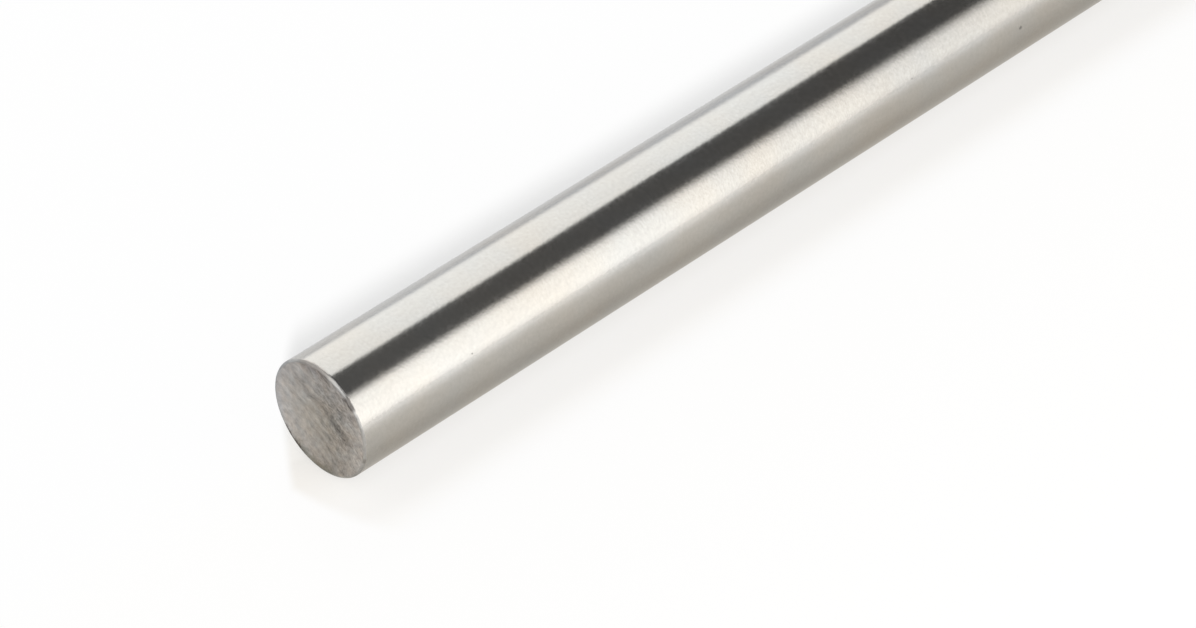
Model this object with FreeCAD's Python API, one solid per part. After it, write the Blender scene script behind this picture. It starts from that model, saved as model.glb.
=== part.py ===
import FreeCAD, Part
import math
import os

# Solid round bar of bright ground steel: one piece of stock, sawn to length at both ends.
# It lies on its side as it would on a rack or a bench. X runs along the bar, Z is up, and the
# origin is on the floor below the middle of the bar. The near end is the one at low X.
# All sizes are in millimetres.

# Stock
bar_diameter = 20.0
bar_length = 333.0

# Sawn ends: each sharp edge that the saw left is taken off with a file, at 45 degrees.
# The near edge is broken lightly. The far edge is broken like a shop-cut stock end.
near_edge_break = 0.3
far_edge_break = 0.4

# Worked out from the sizes above
bar_radius = bar_diameter / 2
along = FreeCAD.Vector(1, 0, 0)
near_centre = FreeCAD.Vector(-bar_length / 2, 0, bar_radius)


def ground_stock():
    """The stock itself: a ground circle carried along the whole length."""
    outline = Part.Circle(near_centre, along, bar_radius).toShape()
    section = Part.Face(Part.Wire(outline))
    return section.extrude(along * bar_length)


def rim_at(stock, x):
    """The round edge where the ground skin meets the saw cut at this x."""
    rims = [edge for edge in stock.Edges if isinstance(edge.Curve, Part.Circle)]
    return min(rims, key=lambda edge: abs(edge.Curve.Center.x - x))


def sawn_to_length(stock):
    """Both sawn ends, each with its sharp edge broken by its own amount."""
    near_x = near_centre.x
    far_x = near_x + bar_length
    bar = stock.makeChamfer(near_edge_break, [rim_at(stock, near_x)])
    return bar.makeChamfer(far_edge_break, [rim_at(bar, far_x)])


def stated_volume():
    """Cylinder volume less the two rings that the file takes off."""
    full = math.pi * bar_radius**2 * bar_length
    rings = 0.0
    for cut in (near_edge_break, far_edge_break):
        ring_middle = bar_radius - cut / 3
        rings += 2 * math.pi * ring_middle * cut**2 / 2
    return full - rings


round_bar = sawn_to_length(ground_stock())
solid = round_bar.Solids[0]
print(f"round_bar: {len(round_bar.Solids)} solid, valid {solid.isValid()}")
print(f"volume {solid.Volume:.3f} mm3, expected {stated_volume():.3f} mm3")

os.makedirs("parts", exist_ok=True)
solid.exportStep("parts/round_bar.step")
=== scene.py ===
import math

import bpy
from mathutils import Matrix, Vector


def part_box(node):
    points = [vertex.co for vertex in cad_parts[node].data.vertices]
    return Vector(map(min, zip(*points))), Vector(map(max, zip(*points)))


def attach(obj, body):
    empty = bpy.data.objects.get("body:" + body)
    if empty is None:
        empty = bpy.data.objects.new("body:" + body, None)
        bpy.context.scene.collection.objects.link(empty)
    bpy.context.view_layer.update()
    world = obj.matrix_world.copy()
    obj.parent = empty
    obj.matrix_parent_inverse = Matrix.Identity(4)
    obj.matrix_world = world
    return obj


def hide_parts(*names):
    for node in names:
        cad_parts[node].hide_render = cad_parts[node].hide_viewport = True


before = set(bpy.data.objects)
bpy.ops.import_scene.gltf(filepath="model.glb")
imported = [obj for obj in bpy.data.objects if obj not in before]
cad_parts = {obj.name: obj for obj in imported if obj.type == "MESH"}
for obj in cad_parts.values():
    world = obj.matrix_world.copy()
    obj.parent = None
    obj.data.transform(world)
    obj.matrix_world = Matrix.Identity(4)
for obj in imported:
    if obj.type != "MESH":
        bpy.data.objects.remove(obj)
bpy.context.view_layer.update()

# A solid round bar of bright ground steel, sawn to length at both ends, lying on a white table.
# X runs along the bar, Z is up, and all sizes are in metres unless a name says otherwise.
# Angles round the bar are in degrees. They turn from -Y, the camera's side, up towards +Z.

MM = 0.001

# The stock, as the frame gives it
bar_low, bar_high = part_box("round_bar")
bar_length = bar_high.x - bar_low.x
bar_radius = (bar_high.z - bar_low.z) / 2
axis_height = (bar_high.z + bar_low.z) / 2

# The rims: the edge break at each end, how many times as large the file's round is, and how far below
# the skin a place counts as filed
near_break = 0.3 * MM
far_break = 0.4 * MM
round_for_break = 1.5
least_filed = 0.02 * MM

# The saw marks: how far apart and how deep, the radius of their arcs, and how far they turn at each end
saw_pitch = 0.8 * MM
saw_depth = 0.07 * MM
saw_bend = 26 * MM
near_saw_angle = math.radians(30)
far_saw_angle = math.radians(-12)

# Where the file cut deeper into the near rim: the angle of its middle, how many degrees to each side the
# cut is at its deepest and how many it reaches, and how much larger the round is there
deep_file_angle = 62
deep_file_full = 9
deep_file_reach = 26
deep_file_extra = 0.12 * MM

# Dents in the rims: angle, length round the rim, reach and depth
NEAR_DENTS = [
    (45, 1.00 * MM, 0.50 * MM, 0.34 * MM),
    (231, 1.70 * MM, 0.40 * MM, 0.15 * MM),
    (70, 1.90 * MM, 0.60 * MM, 0.16 * MM),
    (94, 1.60 * MM, 0.60 * MM, 0.12 * MM),
]
FAR_DENTS = [
    (75, 0.80 * MM, 0.40 * MM, 0.20 * MM),
    (302, 0.50 * MM, 0.35 * MM, 0.18 * MM),
]

# How finely the bar is divided
sides_round = 360
rings_on_face = 60
levels_along = 100
levels_in_break = 8

# Colours, as linear red, green and blue
GROUND_STEEL = (0.445, 0.435, 0.414)
SAWN_STEEL = (0.330, 0.313, 0.299)
FILED_STEEL = (0.400, 0.397, 0.390)
GLANCING_STEEL = (0.88, 0.88, 0.88, 1.0)
# Painted shade: the table is darker and warm in front near the bar, and grey behind it; far off it is near
# white
TABLE_PAINTED_SHADE_IN_FRONT = (0.785, 0.725, 0.630)
TABLE_BEHIND = (0.728, 0.730, 0.735)
TABLE_FAR_OFF = (0.950, 0.950, 0.940)

# Roughness of each surface before its own unevenness, and how deep the finest relief of each metal is
skin_roughness = 0.15
sawn_roughness = 0.42
filed_roughness = 0.38
laminate_roughness = 0.15
skin_relief = 0.010 * MM
sawn_relief = 0.07 * MM
filed_relief = 0.03 * MM


class Tree:
    """A node tree, with short words for the nodes that the bar and its studio need."""

    def __init__(self, tree):
        self.tree = tree
        tree.nodes.clear()

    def node(self, kind, inputs=None, **settings):
        """A node of this kind. inputs maps a socket's name or number to what feed gives it."""
        made = self.tree.nodes.new(kind)
        for name, value in settings.items():
            setattr(made, name, value)
        for key, value in (inputs or {}).items():
            self.feed(made.inputs[key], value)
        return made

    def feed(self, socket, value):
        """Give a socket a plain value or another node's output."""
        if isinstance(value, bpy.types.NodeSocket):
            self.tree.links.new(value, socket)
        else:
            socket.default_value = value

    def maths(self, operation, *values):
        return self.node("ShaderNodeMath", dict(enumerate(values)), operation=operation).outputs[0]

    def add(self, *values):
        total = values[0]
        for value in values[1:]:
            total = self.maths("ADD", total, value)
        return total

    def times(self, *values):
        total = values[0]
        for value in values[1:]:
            total = self.maths("MULTIPLY", total, value)
        return total

    def less(self, a, b):
        return self.maths("SUBTRACT", a, b)

    def swing(self, cloud, amount):
        """Noise about its middle value, this many times over."""
        return self.times(self.less(cloud, 0.5), amount)

    def vector(self, operation, *values):
        made = self.node("ShaderNodeVectorMath", operation=operation)
        for socket, value in zip(made.inputs, values):
            self.feed(socket, value)
        return made.outputs["Value" if operation in ("DOT_PRODUCT", "LENGTH", "DISTANCE") else "Vector"]

    def add_vectors(self, *vectors):
        total = vectors[0]
        for vector in vectors[1:]:
            total = self.vector("ADD", total, vector)
        return total

    def scaled(self, vector, factor):
        made = self.node("ShaderNodeVectorMath", {0: vector}, operation="SCALE")
        self.feed(made.inputs["Scale"], factor)
        return made.outputs["Vector"]

    def over(self, upper, lower, cover):
        """One colour or light over another: the upper one hides the lower by the cover."""
        return self.add_vectors(self.scaled(lower, self.less(1.0, cover)), self.scaled(upper, cover))

    def changed(self, colour, change, here):
        """A colour changed by a share of each of its parts, in full where here is 1."""
        return self.vector("MULTIPLY", colour, self.add_vectors((1.0, 1.0, 1.0), self.scaled(change, here)))

    def xyz(self, x, y, z):
        return self.node("ShaderNodeCombineXYZ", {0: x, 1: y, 2: z}).outputs[0]

    def split(self, vector):
        return self.node("ShaderNodeSeparateXYZ", {0: vector}).outputs[:3]

    def ramp(self, value, low, high, to_low=0.0, to_high=1.0, smooth=False):
        """value from low to high becomes to_low to to_high, and stays at the end values beyond them."""
        made = self.node("ShaderNodeMapRange", clamp=True)
        made.interpolation_type = "SMOOTHSTEP" if smooth else "LINEAR"
        for socket, number in zip(made.inputs, (value, low, high, to_low, to_high)):
            self.feed(socket, number)
        return made.outputs[0]

    def noise(self, vector, scale, detail, roughness, seed):
        """Cloudy noise from 0 to 1. The seed moves it to another place in the cloud."""
        inputs = {"Vector": vector, "W": seed, "Scale": scale, "Detail": detail, "Roughness": roughness}
        return self.node("ShaderNodeTexNoise", inputs, noise_dimensions="4D").outputs[0]


# The bar as a shape


def stock_inputs(tree):
    """The named sizes that the tree takes, each with the value that this bar has."""
    sizes = [
        ("Length", "NodeSocketFloat", bar_length),
        ("Radius", "NodeSocketFloat", bar_radius),
        ("Axis Height", "NodeSocketFloat", axis_height),
        ("Near Break", "NodeSocketFloat", near_break),
        ("Far Break", "NodeSocketFloat", far_break),
        ("Saw Pitch", "NodeSocketFloat", saw_pitch),
        ("Saw Depth", "NodeSocketFloat", saw_depth),
        ("Near Saw Angle", "NodeSocketFloat", near_saw_angle),
        ("Far Saw Angle", "NodeSocketFloat", far_saw_angle),
        ("Sides", "NodeSocketInt", sides_round),
        ("Face Rings", "NodeSocketInt", rings_on_face),
        ("Levels", "NodeSocketInt", levels_along),
        ("Break Levels", "NodeSocketInt", levels_in_break),
        ("Skin", "NodeSocketMaterial", None),
        ("Sawn Face", "NodeSocketMaterial", None),
        ("Filed Edge", "NodeSocketMaterial", None),
    ]
    for name, kind, value in sizes:
        socket = tree.interface.new_socket(name, in_out="INPUT", socket_type=kind)
        if value is not None:
            socket.default_value = value
    tree.interface.new_socket("Bar", in_out="OUTPUT", socket_type="NodeSocketGeometry")


def cosine(angle_degrees):
    return math.cos(math.radians(angle_degrees))


def outward_at(angle_degrees):
    """The way out from the bar's axis at an angle."""
    return (0.0, -cosine(angle_degrees), math.sin(math.radians(angle_degrees)))


def across_the_cut(t, y, z, angle):
    """How far a point of the face lies across the saw marks, which are arcs, and how far along them."""
    cosine_of, sine_of = t.maths("COSINE", angle), t.maths("SINE", angle)
    from_bend = t.add(t.less(t.times(z, cosine_of), t.times(y, sine_of)), saw_bend)
    along = t.add(t.times(y, cosine_of), t.times(z, sine_of))
    arc = t.times(t.maths("ARCTAN2", along, from_bend), saw_bend)
    return t.less(t.vector("LENGTH", t.xyz(from_bend, along, 0.0)), saw_bend), arc


def marks(t, row, run, fineness, layer, detail, roughness, seed):
    """Noise drawn out along the saw marks. fineness says how fine it is across them and along them."""
    across, along = fineness
    return t.noise(t.xyz(t.times(row, across), t.times(run, along), layer), 1.0, detail, roughness, seed)


def saw_relief(t, y, z, angle, pitch, depth, seed):
    """How far the saw went in below the face's highest points, from 0 to about the saw depth."""
    across, along = across_the_cut(t, y, z, angle)
    row = t.maths("DIVIDE", across, pitch)
    run = t.maths("DIVIDE", along, pitch)
    wander = marks(t, row, run, (0.25, 0.06), 0.0, 2.0, 0.5, seed)
    phase = t.times(t.add(row, t.times(wander, 3.0)), 2 * math.pi)
    tooth = t.add(t.times(t.maths("SINE", phase), 0.5), 0.5)
    strength = marks(t, row, run, (0.5, 0.10), 3.0, 1.0, 0.5, seed + 5)
    scratch = marks(t, row, run, (2.1, 0.16), 7.0, 3.0, 0.6, seed + 9)
    rough = t.noise(t.xyz(y, z, 0.0), 900.0, 2.0, 0.5, seed + 13)
    total = t.add(t.times(tooth, strength, 0.8), t.times(scratch, 0.55), t.times(rough, 0.15))
    return t.times(t.ramp(total, 0.15, 1.25), depth)


def filed_rounds(t, given, side_y, side_z):
    """The size of the round on each rim. The file took off more in some places round it than in others."""
    outward = t.vector("NORMALIZE", t.xyz(0.0, side_y, side_z))
    cloud = t.noise(t.scaled(outward, 2.2), 1.0, 2.0, 0.6, 21.0)
    unevenness = t.ramp(cloud, 0.3, 0.7, 0.80, 1.08)
    towards_deep = t.vector("DOT_PRODUCT", outward, outward_at(deep_file_angle))
    reach, full = cosine(deep_file_reach), cosine(deep_file_full)
    deep = t.ramp(towards_deep, reach, full, 0.0, deep_file_extra, smooth=True)
    near = t.add(t.times(given["Near Break"], round_for_break, unevenness), deep)
    far = t.times(given["Far Break"], round_for_break, unevenness)
    return near, far


def bar_profile(t, given, side_y, side_z, level):
    """Where a level lies along the bar, and its girth as a share of the radius."""
    length, radius = given["Length"], given["Radius"]
    levels, break_levels = given["Levels"], given["Break Levels"]
    last_skin = t.less(levels, break_levels)
    near, far = filed_rounds(t, given, side_y, side_z)
    near_turn = t.ramp(level, 0.0, break_levels, 0.0, math.pi / 2)
    far_turn = t.ramp(level, last_skin, levels, 0.0, math.pi / 2)
    near_rise = t.times(near, t.less(1.0, t.maths("COSINE", near_turn)))
    near_out = t.times(near, t.maths("SINE", near_turn))
    far_rise = t.times(far, t.maths("SINE", far_turn))
    far_in = t.times(far, t.less(1.0, t.maths("COSINE", far_turn)))
    skin_length = t.less(length, t.add(near, far))
    skin_run = t.ramp(level, break_levels, last_skin, 0.0, skin_length, smooth=True)
    x = t.add(t.times(length, -0.5), near_rise, skin_run, far_rise)
    girth = t.maths("DIVIDE", t.less(t.add(t.less(radius, near), near_out), far_in), radius)
    return x, girth


def nearness_to_dent(t, place, end_x, angle_degrees, length, reach):
    """1 in the middle of a dent in an end's rim, falling to 0 at its edge."""
    outward = outward_at(angle_degrees)
    round_the_rim = (0.0, outward[2], -outward[1])
    centre = t.add_vectors(t.scaled(outward, bar_radius), t.xyz(end_x, 0.0, axis_height))
    off = t.vector("SUBTRACT", place, centre)
    sideways = t.vector("DOT_PRODUCT", off, round_the_rim)
    squeeze = t.scaled(round_the_rim, t.times(sideways, reach / length - 1))
    return t.ramp(t.vector("LENGTH", t.add_vectors(off, squeeze)), 0.0, reach, 1.0, 0.0, smooth=True)


def dented(t, place, end_x, dents):
    """The place, pushed in towards the axis by each dent in the rim at this end."""
    for angle, long, reach, deep_in in dents:
        push = t.times(nearness_to_dent(t, place, end_x, angle, long, reach), -deep_in)
        place = t.add_vectors(place, t.scaled(outward_at(angle), push))
    return place


def with_finishes(t, given, bar, on_a_face):
    """The bar with each finish in its place. The rims are wherever the file or a dent took metal off."""
    now_y, now_z = t.split(t.node("GeometryNodeInputPosition").outputs[0])[1:]
    girth = t.vector("LENGTH", t.xyz(0.0, now_y, t.less(now_z, given["Axis Height"])))
    filed = t.maths("LESS_THAN", girth, t.less(given["Radius"], least_filed))
    for where, finish in ((True, "Skin"), (filed, "Filed Edge"), (on_a_face, "Sawn Face")):
        inputs = {"Geometry": bar, "Selection": where, "Material": given[finish]}
        bar = t.node("GeometryNodeSetMaterial", inputs).outputs[0]
    return bar


def bar_tree():
    """Round stock: one cylinder whose levels are spaced along the bar, with sawn faces and filed rims."""
    tree = bpy.data.node_groups.new("sawn_round_stock", "GeometryNodeTree")
    stock_inputs(tree)
    t = Tree(tree)
    given = t.node("NodeGroupInput").outputs
    length, height, levels = given["Length"], given["Axis Height"], given["Levels"]
    divisions = {
        "Vertices": given["Sides"],
        "Side Segments": levels,
        "Fill Segments": given["Face Rings"],
        "Radius": given["Radius"],
        "Depth": length,
    }
    blank = t.node("GeometryNodeMeshCylinder", divisions, fill_type="TRIANGLE_FAN").outputs

    # Each point knows its level: 0 on the near face and the highest on the far one
    side_y, side_z, up = t.split(t.node("GeometryNodeInputPosition").outputs[0])
    share = t.add(t.maths("DIVIDE", up, length), 0.5)
    level = t.maths("ROUND", t.times(share, levels))
    x, girth = bar_profile(t, given, side_y, side_z, level)
    y, z = t.times(side_y, girth), t.times(side_z, girth)

    # Saw marks, always inwards from the face
    pitch, depth = given["Saw Pitch"], given["Saw Depth"]
    near_cut = saw_relief(t, y, z, given["Near Saw Angle"], pitch, depth, 2.0)
    far_cut = saw_relief(t, y, z, given["Far Saw Angle"], pitch, depth, 31.0)
    on_near = t.maths("LESS_THAN", level, 0.5)
    on_far = t.maths("GREATER_THAN", level, t.less(levels, 0.5))
    x = t.less(t.add(x, t.times(near_cut, on_near)), t.times(far_cut, on_far))

    place = t.xyz(x, y, t.add(z, height))
    place = dented(t, place, t.times(length, -0.5), NEAR_DENTS)
    place = dented(t, place, t.times(length, 0.5), FAR_DENTS)
    shaped = t.node("GeometryNodeSetPosition", {"Geometry": blank["Mesh"], "Position": place})
    smooth = t.node("GeometryNodeSetShadeSmooth", {"Geometry": shaped.outputs[0], "Shade Smooth": True})
    whole = t.node("GeometryNodeRealizeInstances", {"Geometry": smooth.outputs[0]})
    on_a_face = t.node("FunctionNodeBooleanMath", {0: blank["Top"], 1: blank["Bottom"]}, operation="OR")
    finished = with_finishes(t, given, whole.outputs[0], on_a_face.outputs[0])
    t.node("NodeGroupOutput", {"Bar": finished})
    return tree


def made_by(tree, name, values):
    """The plain mesh object that a tree makes with these values for its named inputs."""
    holder = bpy.data.objects.new(name, bpy.data.meshes.new(name))
    bpy.context.scene.collection.objects.link(holder)
    modifier = holder.modifiers.new("shape", "NODES")
    modifier.node_group = tree
    inputs = [item for item in tree.interface.items_tree if item.in_out == "INPUT"]
    identifiers = {item.name: item.identifier for item in inputs}
    for socket, value in values.items():
        modifier[identifiers[socket]] = value
    bpy.context.view_layer.update()
    evaluated = holder.evaluated_get(bpy.context.evaluated_depsgraph_get())
    mesh = bpy.data.meshes.new_from_object(evaluated)
    holder.modifiers.clear()
    holder.data = mesh
    mesh.name = name
    return holder


# Finishes


# Small dark pits in the skin: distance from the near end, angle and size
SKIN_PITS = [
    (146.8 * MM, 8.0, 0.45 * MM),
    (121 * MM, 24.5, 0.22 * MM),
    (23 * MM, 26.5, 0.20 * MM),
]

# Stains and painted shade on the rims: end (-1 near, 1 far), angle, half length in degrees, reach over the
# face, and what each leaves of each colour. Rows marked below as painted shade darken where shade falls;
# the others only darken or tint the rim.
RIM_STAINS_AND_PAINTED_SHADE = [
    # Painted shade in the near rim's dent at 45 degrees
    (-1, 46, 9, 1.10 * MM, (0.40, 0.38, 0.37)),
    # A dark line along the near rim's dent at the lower left
    (-1, 231, 19, 0.95 * MM, (0.20, 0.18, 0.16)),
    # A slight cool darkening round the left of the near rim
    (-1, 170, 50, 1.80 * MM, (0.93, 0.95, 0.98)),
    # Painted shade at the bottom of the near rim, by the table
    (-1, 260, 34, 2.00 * MM, (0.66, 0.66, 0.61)),
    # These two rows: painted shade at the top of the near rim, where the rim would mirror the lamp
    (-1, 95, 22, 1.90 * MM, (0.82, 0.79, 0.78)),
    (-1, 93, 30, 0.75 * MM, (0.82, 0.80, 0.77)),
    (-1, 346, 4, 0.70 * MM, (0.74, 0.72, 0.70)),
    # These two rows: painted shade in the far rim's dents
    (1, 75, 9, 0.70 * MM, (0.40, 0.38, 0.35)),
    (1, 302, 20, 0.50 * MM, (0.55, 0.53, 0.49)),
    # A slight cool darkening round the left of the far rim
    (1, 170, 40, 0.60 * MM, (0.78, 0.79, 0.78)),
]

# Down the skin a stain or painted shade is as strong as on the rim to this depth, and then fades so many
# times faster
stain_and_shade_depth = near_break * 0.7
stain_and_shade_fade_on_skin = 4.0


def finish_tree(name):
    material = bpy.data.materials.new(name)
    material.use_nodes = True
    return material, Tree(material.node_tree)


def metal(t, colour, roughness, height, distance):
    """Bare metal with fine relief: the shader and the output that every finish of the bar ends in."""
    relief = t.node("ShaderNodeBump", {"Height": height, "Distance": distance, "Strength": 1.0})
    inputs = {
        "Metallic": 1.0,
        "Base Color": colour,
        "Roughness": roughness,
        "Specular Tint": GLANCING_STEEL,
        "Normal": relief.outputs[0],
    }
    shader = t.node("ShaderNodeBsdfPrincipled", inputs)
    t.node("ShaderNodeOutputMaterial", {"Surface": shader.outputs[0]})


def tinted(t, colour, factor):
    """A colour made darker or lighter by a factor that varies over the surface."""
    return t.scaled(t.xyz(*colour), factor)


def varied(t, colour, place, seed, red, blue):
    """A colour with a slow change over the surface: redder and less blue in some places than in others."""
    amount = t.less(t.noise(place, 1.0, 2.0, 0.5, seed), 0.5)
    change = t.xyz(t.add(1.0, t.times(amount, red)), 1.0, t.less(1.0, t.times(amount, blue)))
    return t.vector("MULTIPLY", colour, change)


def pit(t, place, along, angle_degrees, size):
    """1 in the middle of a pit, falling to 0 at its edge."""
    outward = Vector(outward_at(angle_degrees))
    centre = Vector((bar_low.x + along, 0.0, axis_height)) + outward * bar_radius
    return t.ramp(t.vector("DISTANCE", place, tuple(centre)), size * 0.4, size, 1.0, 0.0, smooth=True)


def stray_pits(t, place):
    """Tiny pits scattered over the skin, in about one place in six."""
    cells = t.node("ShaderNodeTexVoronoi", {"Vector": place, "Scale": 170.0}).outputs
    chosen = t.maths("GREATER_THAN", t.split(cells["Color"])[0], 0.84)
    return t.times(t.ramp(cells["Distance"], 0.010, 0.030, 1.0, 0.0), chosen)


def rim_stains_and_painted_shade(t, place):
    """What the stains and painted shade on both rims leave of each colour at a place, as a factor."""
    x, y, z = t.split(place)
    sideways = t.xyz(0.0, y, t.less(z, axis_height))
    inward = t.less(bar_radius, t.vector("LENGTH", sideways))
    outward = t.vector("NORMALIZE", sideways)
    uneven = t.ramp(t.noise(place, 1300.0, 3.0, 0.6, 30.0), 0.3, 0.7, 0.55, 1.35)
    left = (1.0, 1.0, 1.0)
    for end, angle, half_length, reach, colour in RIM_STAINS_AND_PAINTED_SHADE:
        to_end = t.maths("ABSOLUTE", t.less(x, end * bar_length / 2))
        down_skin = t.maths("MAXIMUM", t.less(to_end, stain_and_shade_depth), 0.0)
        off_rim = t.vector("LENGTH", t.xyz(t.times(down_skin, stain_and_shade_fade_on_skin), inward, 0.0))
        by_the_rim = t.ramp(t.times(off_rim, uneven), reach * 0.3, reach, 1.0, 0.0, smooth=True)
        round_the_rim = t.vector("DOT_PRODUCT", outward, outward_at(angle))
        in_its_length = t.ramp(round_the_rim, cosine(half_length), cosine(half_length * 0.45), smooth=True)
        loss = tuple(part - 1.0 for part in colour)
        left = t.changed(left, loss, t.times(by_the_rim, in_its_length))
    return left


def drawn_out(t, place, along, across, detail, roughness, seed):
    """Noise with so many features a metre along the bar, and so many across it."""
    x, y, z = t.split(place)
    stretched = t.xyz(t.times(x, along), t.times(y, across), t.times(z, across))
    return t.noise(stretched, 1.0, detail, roughness, seed)


def ground_skin():
    """Bright ground skin: rings left by the wheel, a slight waviness, handling lines, smudges and pits."""
    material, t = finish_tree("bright_ground_skin")
    place = t.node("ShaderNodeTexCoord").outputs["Object"]
    rings = drawn_out(t, place, 9000.0, 60.0, 2.0, 0.6, 1.0)
    grain = drawn_out(t, place, 2800.0, 1500.0, 2.0, 0.6, 4.0)
    mottle = t.noise(place, 1400.0, 3.0, 0.70, 6.0)
    drags = drawn_out(t, place, 35.0, 2200.0, 2.0, 0.5, 8.0)
    smudge = drawn_out(t, place, 45.0, 110.0, 3.0, 0.6, 12.0)
    waves = drawn_out(t, place, 40.0, 90.0, 1.0, 0.5, 16.0)
    pits = stray_pits(t, place)
    for along, angle, size in SKIN_PITS:
        pits = t.maths("MAXIMUM", pits, pit(t, place, along, angle, size))

    shade = t.add(0.985, t.swing(smudge, 0.20), t.swing(grain, 0.12), t.swing(mottle, 0.22))
    shade = t.times(shade, t.less(1.0, t.times(pits, 0.45)))
    # The rims' stains and painted shade, which reach a little way onto the skin
    colour = t.vector("MULTIPLY", tinted(t, GROUND_STEEL, shade), rim_stains_and_painted_shade(t, place))
    colour = varied(t, colour, t.scaled(place, 75.0), 20.0, 0.12, 0.14)
    rough = t.add(
        skin_roughness,
        t.swing(smudge, 0.08),
        t.swing(drags, 0.05),
        t.swing(mottle, 0.14),
        t.times(pits, 0.2),
    )
    height = t.add(
        t.times(rings, 0.16),
        t.times(grain, 0.7),
        t.times(mottle, 1.15),
        t.times(drags, 0.06),
        t.times(waves, 8.0),
    )
    metal(t, colour, rough, height, skin_relief)
    return material


def torn_line(t, row, along_mm):
    """Where the saw tore the face: a dark line along one mark, in two parts, of which one is stronger."""
    torn_row = 2.9
    off_line = t.maths("ABSOLUTE", t.less(row, torn_row))
    from_middle = t.maths("ABSOLUTE", along_mm)
    return t.times(
        t.ramp(off_line, 0.15, 1.20, 1.0, 0.0, smooth=True),
        t.ramp(from_middle, 5.0, 7.0, 1.0, 0.0, smooth=True),
        t.ramp(from_middle, 0.3, 2.6, 0.55, 1.0),
        t.ramp(along_mm, -1.0, 3.0, 1.0, 0.72),
    )


def sawn_face():
    """Sawn steel, dull and brownish, lighter towards the left and at the far right, darker across the cut
    towards the top, and torn towards the upper right.
    """
    material, t = finish_tree("sawn_steel_face")
    place = t.node("ShaderNodeTexCoord").outputs["Object"]
    x, y, z = t.split(place)
    up = t.less(z, axis_height)
    near_end = t.maths("LESS_THAN", x, 0.0)
    angle = t.add(far_saw_angle, t.times(near_end, near_saw_angle - far_saw_angle))
    across, along = across_the_cut(t, y, up, angle)
    across_mm, along_mm = t.times(across, 1 / MM), t.times(along, 1 / MM)
    to_right_mm = t.times(y, -1 / MM)

    row = t.add(across_mm, t.swing(t.noise(place, 260.0, 2.0, 0.5, 2.0), 1.6))
    streak = marks(t, row, along_mm, (0.95, 0.20), near_end, 3.0, 0.55, 3.0)
    scratch = marks(t, row, along_mm, (3.6, 0.55), near_end, 3.0, 0.6, 6.0)
    mottle = marks(t, row, along_mm, (0.95, 0.75), near_end, 4.0, 0.62, 9.0)
    chips = marks(t, row, along_mm, (3.0, 2.0), near_end, 2.0, 0.6, 13.0)
    torn = t.ramp(t.add(to_right_mm, t.times(across_mm, 0.5)), -3.0, 7.0, smooth=True)
    pale = t.add(t.ramp(to_right_mm, -9.0, 2.0, 0.40, 0.0), t.ramp(to_right_mm, 4.5, 8.5, 0.0, 0.32))
    tear = torn_line(t, row, along_mm)

    shade = t.add(
        t.add(1.00, pale),
        t.times(across_mm, -0.012),
        t.swing(streak, 0.9),
        t.swing(scratch, 0.40),
        t.swing(mottle, 1.62),
        t.swing(chips, t.add(0.15, t.times(torn, 1.35))),
        t.times(tear, -0.37),
    )
    colour = tinted(t, SAWN_STEEL, t.maths("MAXIMUM", shade, 0.35))
    # The rims' stains and painted shade, which reach over the face
    colour = t.vector("MULTIPLY", colour, rim_stains_and_painted_shade(t, place))
    colour = varied(t, colour, t.scaled(place, 420.0), 24.0, 0.20, 0.20)
    from_centre = t.vector("LENGTH", t.xyz(0.0, y, up))
    in_the_middle = t.ramp(from_centre, 0.2 * bar_radius, 0.9 * bar_radius, 1.0, 0.0)
    browner = (-0.01, -0.03, -0.09)
    colour = t.changed(colour, browner, in_the_middle)
    rough = t.add(sawn_roughness, t.times(torn, 0.06), t.swing(scratch, 0.2), t.swing(mottle, 0.2))
    height = t.add(
        t.times(scratch, 0.7),
        t.times(streak, 0.6),
        t.times(tear, -0.5),
        t.times(chips, t.times(torn, 0.9)),
    )
    metal(t, colour, rough, height, sawn_relief)
    return material


def filed_edge():
    """The filed rim: half bright and patchy, with short file strokes and the stains and painted shade of
    the rim.
    """
    material, t = finish_tree("filed_edge")
    place = t.node("ShaderNodeTexCoord").outputs["Object"]
    stroke = t.noise(place, 2200.0, 3.0, 0.6, 5.0)
    patch = t.noise(place, 420.0, 2.0, 0.5, 7.0)
    shade = t.add(0.95, t.swing(patch, 0.9), t.swing(stroke, 0.5))
    colour = tinted(t, FILED_STEEL, t.maths("MAXIMUM", shade, 0.3))
    # The rim's stains and painted shade
    colour = t.vector("MULTIPLY", colour, rim_stains_and_painted_shade(t, place))
    rough = t.add(filed_roughness, t.swing(stroke, 0.25))
    metal(t, colour, rough, stroke, filed_relief)
    return material


# The table


table_half_width = 6.0

# How much of the table's white is its own: beside the bar on each side, and farther off. Less of it beside
# the bar, and least behind it, paints the bar's shadow on the table.
own_white_in_front = 0.77
own_white_behind = 0.22
own_white_far_off = 0.95

# How much of that white is seen in the metal: near the bar, and far off in front
mirrored_near = 0.46
mirrored_far_off = 0.25

# The painted shadow beside the bar, where less of the table's white is its own, in bar radii: where its
# middle runs, and how far from there it begins to fade and ends. Past the bar's ends it fades so many times
# sooner. Behind the bar its ends lean over.
shade_middle = 0.50
shade_fades = 1.75
shade_ends = 2.55
sooner_past_ends = 3.6
shade_lean = 0.75


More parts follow.
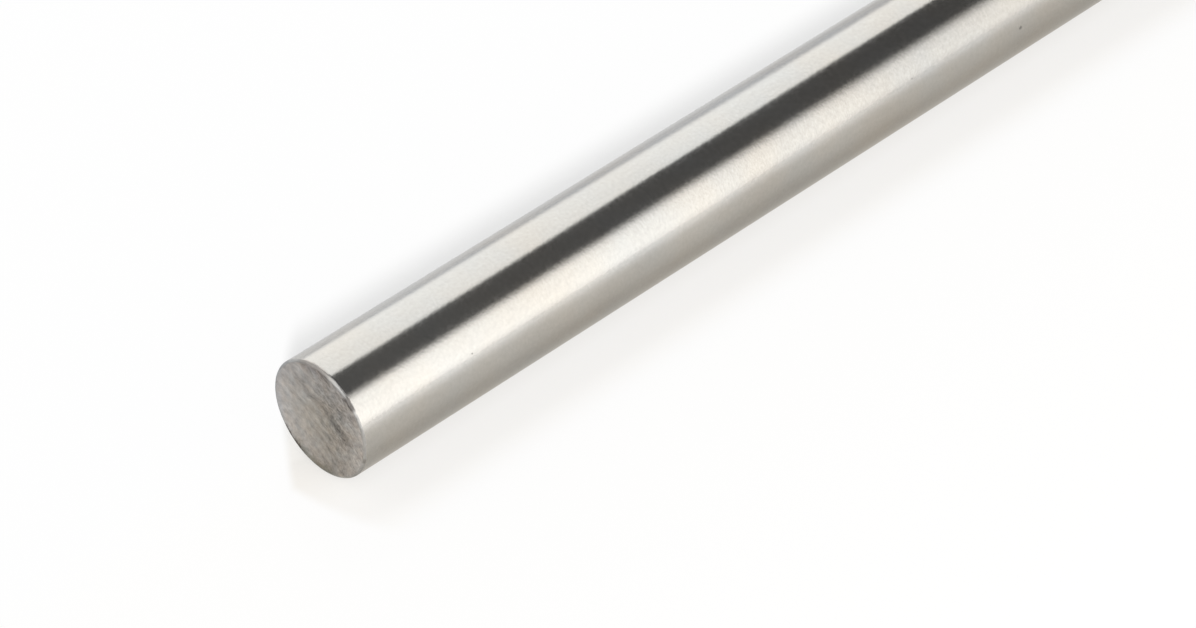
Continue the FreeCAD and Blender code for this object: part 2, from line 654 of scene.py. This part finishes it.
def own_white_with_painted_shadow(t):
    """How much of the table's white is its own: least in a painted shadow beside the bar, and nearly all
    farther off.
    """
    x, y, z = t.split(t.node("ShaderNodeTexCoord").outputs["Object"])
    aside = t.maths("DIVIDE", y, bar_radius)
    leaning = t.less(x, t.times(t.maths("MAXIMUM", y, 0.0), shade_lean))
    beyond = t.maths("MAXIMUM", t.less(t.maths("ABSOLUTE", leaning), bar_length / 2), 0.0)
    past_end = t.times(beyond, sooner_past_ends / bar_radius)
    off_middle = t.vector("LENGTH", t.xyz(t.less(aside, shade_middle), past_end, 0.0))
    beside = t.ramp(aside, -0.8, 2.0, own_white_in_front, own_white_behind)
    return t.ramp(off_middle, shade_fades, shade_ends, beside, own_white_far_off, smooth=True)


def white_laminate():
    """White laminate with a slight gloss. Some of its white is its own, so the shade on it stays faint.

    Beside the bar its own white is held back in a painted shadow, and its colour is a painted shade near
    the bar.
    """
    material, t = finish_tree("white_laminate")
    y = t.split(t.node("ShaderNodeTexCoord").outputs["Object"])[1]
    far_off = t.ramp(y, -4 * bar_radius, -12 * bar_radius)
    # Painted shade: darker and warm in front near the bar, grey behind it, and near white far off in front
    colour = t.over(TABLE_BEHIND, TABLE_PAINTED_SHADE_IN_FRONT, t.ramp(y, 0.0, 1.5 * bar_radius))
    colour = t.over(TABLE_FAR_OFF, colour, far_off)
    gloss = {"Base Color": colour, "Roughness": laminate_roughness}
    laminate = t.node("ShaderNodeBsdfPrincipled", gloss)
    glow = t.node("ShaderNodeEmission", {"Color": (1.0, 1.0, 1.0, 1.0), "Strength": 1.0})
    ray = t.node("ShaderNodeLightPath").outputs
    in_a_mirror = t.maths("MAXIMUM", ray["Is Glossy Ray"], ray["Is Transmission Ray"])
    in_metal = t.times(in_a_mirror, t.ramp(far_off, 0.0, 1.0, mirrored_near, mirrored_far_off))
    # The own white is held back beside the bar in a painted shadow
    share = t.times(own_white_with_painted_shadow(t), t.maths("MAXIMUM", ray["Is Camera Ray"], in_metal))
    mixed = t.node("ShaderNodeMixShader", {0: share, 1: laminate.outputs[0], 2: glow.outputs[0]})
    t.node("ShaderNodeOutputMaterial", {"Surface": mixed.outputs[0]})
    return material


def white_table():
    """A wide table top that the bar lies on."""
    half = table_half_width
    corners = [(-half, -half, 0), (half, -half, 0), (half, half, 0), (-half, half, 0)]
    mesh = bpy.data.meshes.new("table_top")
    mesh.from_pydata(corners, [], [(0, 1, 2, 3)])
    mesh.materials.append(white_laminate())
    table = bpy.data.objects.new("table_top", mesh)
    bpy.context.scene.collection.objects.link(table)


# The studio. Each light is a place in the world, found by direction: turn is the direction's angle round
# the bar, and x is how far it points along the bar. In the bar the camera sees directions whose x runs
# from about 0.50, at the near end, to 0.61, far off.

FRONT_TINT = (1.004, 0.988, 0.962)
BACK_TINT = (1.0, 1.005, 1.0)
GAP_TINT = (1.0, 1.0, 1.0)
PALE_WALL = (0.87, 0.89, 0.93)

# The round lamp at the left: its light, the way to it, and how many degrees off its middle it begins
# to fade and ends
LEFT_LAMP = (1.95, 1.93, 1.90)
left_lamp_aim = Vector((-0.80, -0.02, 0.59)).normalized()
left_lamp_full = 16
left_lamp_edge = 25


def front_light(t, turn, x):
    """A long warm light in front, with a soft upper edge. It fades towards the far end and by the table."""
    edge_starts = t.ramp(x, 0.52, 0.61, 45.0, 34.5)
    edge_ends = t.add(t.ramp(x, 0.50, 0.52, 66.1, 63.3), t.ramp(x, 0.56, 0.585, 0.0, 1.8))
    edge = t.ramp(turn, edge_starts, edge_ends, 1.0, 0.0, smooth=True)
    level = t.add(t.ramp(turn, 20, 46, 2.21, 1.98), t.ramp(turn, 6, 18, 0.15, 0.0, smooth=True))
    fade = t.times(
        t.ramp(x, 0.500, 0.516, 1.045, 0.935),
        t.ramp(x, 0.530, 0.562, 1.0, 1.13),
        t.ramp(x, 0.564, 0.596, 1.06, 0.705),
        t.ramp(x, 0.25, 0.45, 0.92, 1.0),
        t.ramp(turn, 0, 12, 0.86, 1.0),
    )
    return t.scaled(t.xyz(*FRONT_TINT), t.times(edge, level, fade))


def back_light(t, turn, x):
    """A long light behind. Its sharp edge overhead draws back towards the far end."""
    narrowing = t.add(t.ramp(x, 0.5, 0.60, 0.875, 1.23), t.ramp(x, 0.59, 0.62, 0.0, 0.22))
    spread = t.add(120, t.times(t.less(turn, 120), narrowing))
    edge = t.ramp(spread, 102, 106, smooth=True)
    level = t.times(t.ramp(turn, 120, 165, 1.69, 1.87), t.ramp(x, 0.25, 0.45, 0.80, 1.0))
    return t.scaled(t.xyz(*BACK_TINT), t.times(edge, level))


def left_light(t, direction):
    """How much of the round light to the left of the near end lies in this direction."""
    nearness = t.vector("DOT_PRODUCT", direction, tuple(left_lamp_aim))
    return t.ramp(nearness, cosine(left_lamp_edge), cosine(left_lamp_full), smooth=True)


def studio_light():
    """What lights the bar: long lights in front and behind, a dark gap overhead, a wall and a lamp."""
    world = bpy.data.worlds.new("studio")
    bpy.context.scene.world = world
    world.use_nodes = True
    t = Tree(world.node_tree)
    direction = t.node("ShaderNodeTexCoord").outputs["Generated"]
    x, y, z = t.split(direction)
    turn = t.times(t.maths("ARCTAN2", z, t.times(y, -1.0)), 180 / math.pi)
    gap = t.scaled(t.xyz(*GAP_TINT), t.ramp(x, 0.5, 0.62, 0.160, 0.108))
    both_lights = t.add_vectors(front_light(t, turn, x), back_light(t, turn, x))
    overhead = t.vector("MAXIMUM", both_lights, gap)
    wall = t.ramp(t.add(turn, t.ramp(x, 0.50, 0.62, 0.0, 13.0)), 167, 181, smooth=True)
    with_wall = t.over(PALE_WALL, overhead, wall)
    whole = t.over(LEFT_LAMP, with_wall, left_light(t, direction))
    background = t.node("ShaderNodeBackground", {"Color": whole, "Strength": 1.0})
    t.node("ShaderNodeOutputWorld", {"Surface": background.outputs[0]})


# The camera, fitted to the near end's ellipse and to the bar's two sides in the photograph. It stands
# so far from the middle of the near face. The lens and the film's width are in millimetres.
camera_stand = Vector((-0.35580, -0.41300, 0.46674))
camera_towards = Vector((0.5474, 0.5455, -0.6347))
lens_length = 145.14
film_width = 36.0


def photographer():
    data = bpy.data.cameras.new("camera")
    data.sensor_width = film_width
    data.lens = lens_length
    data.clip_start = 0.01
    data.clip_end = 100.0
    camera = bpy.data.objects.new("camera", data)
    bpy.context.scene.collection.objects.link(camera)
    camera.location = Vector((bar_low.x, 0.0, axis_height)) + camera_stand
    camera.rotation_mode = "QUATERNION"
    camera.rotation_quaternion = camera_towards.to_track_quat("-Z", "Y")
    bpy.context.scene.camera = camera


def round_bar():
    finishes = {"Skin": ground_skin(), "Sawn Face": sawn_face(), "Filed Edge": filed_edge()}
    bar = made_by(bar_tree(), "ground_round_bar", finishes)
    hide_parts("round_bar")
    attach(bar, "root")


bpy.context.scene.view_settings.view_transform = "Standard"
round_bar()
white_table()
studio_light()
photographer()
